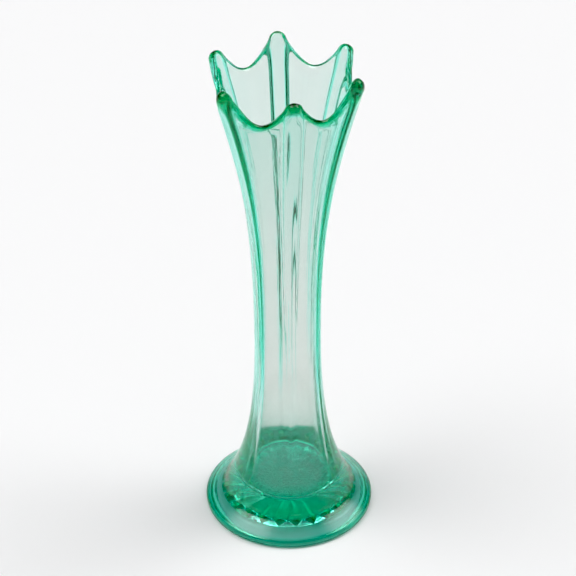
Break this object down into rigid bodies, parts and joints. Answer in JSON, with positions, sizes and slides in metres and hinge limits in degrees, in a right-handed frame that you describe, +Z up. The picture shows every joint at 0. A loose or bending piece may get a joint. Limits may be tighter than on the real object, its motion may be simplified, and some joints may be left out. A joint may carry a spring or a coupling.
{
  "type": "bud vase",
  "caption": "Slender glass bud vase with raised ribs that end in finger tips, a scalloped flared mouth and a round foot with a pressed star.",
  "frame": {"origin": "centre of the foot's standing ring, on the surface that the vase stands on", "axes": "+Z up along the vase; -Y towards the front rib; the drawn body leans slightly towards -X"},
  "size_m": [0.083, 0.083, 0.2454],
  "materials": {
    "green_glass": "fire-polished transparent pale green, deeper in colour where it is thick"
  },
  "bodies": {
    "root": {"foot_rim": "green_glass", "star_base": "green_glass", "rib_front": "green_glass", "rib_front_right": "green_glass", "rib_back_right": "green_glass", "rib_back": "green_glass", "rib_back_left": "green_glass", "rib_front_left": "green_glass", "panel_front_right": "green_glass", "panel_right": "green_glass", "panel_back_right": "green_glass", "panel_back_left": "green_glass", "panel_left": "green_glass", "panel_front_left": "green_glass"}
  },
  "joints": []
}
